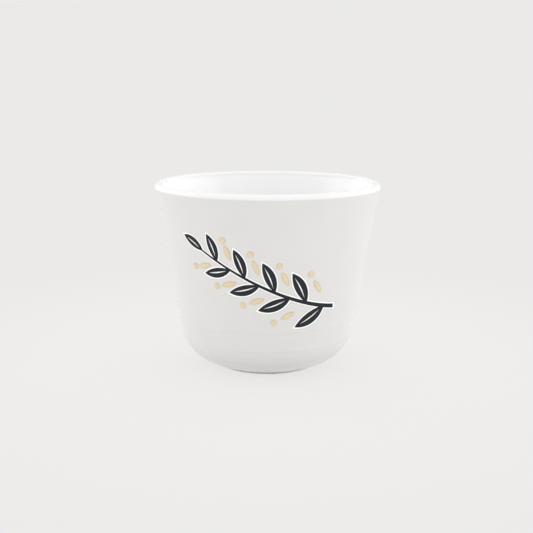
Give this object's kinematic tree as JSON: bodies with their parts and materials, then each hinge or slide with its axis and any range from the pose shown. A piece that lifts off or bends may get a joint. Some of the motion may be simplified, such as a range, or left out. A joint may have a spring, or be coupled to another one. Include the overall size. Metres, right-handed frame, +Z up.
{
  "type": "arabic coffee cup",
  "caption": "Handleless cup for Arabic coffee: a flared bowl of white opal glass on a low foot ring, with a leafy sprig printed on its front in thin films.",
  "frame": {"origin": "centre of the foot ring, on the plane the cup stands on", "axes": "+Z up along the cup's axis; the printed sprig faces -Y and its stem climbs towards -X"},
  "size_m": [0.066, 0.066, 0.054],
  "materials": {
    "opal_glass": "polished",
    "white_print": "gloss",
    "charcoal_print": "satin",
    "gold_print": "satin"
  },
  "bodies": {
    "root": {"cup_glass": "opal_glass", "sprig_border": "white_print", "sprig_leaves": "charcoal_print", "sprig_buds": "gold_print"}
  },
  "joints": []
}
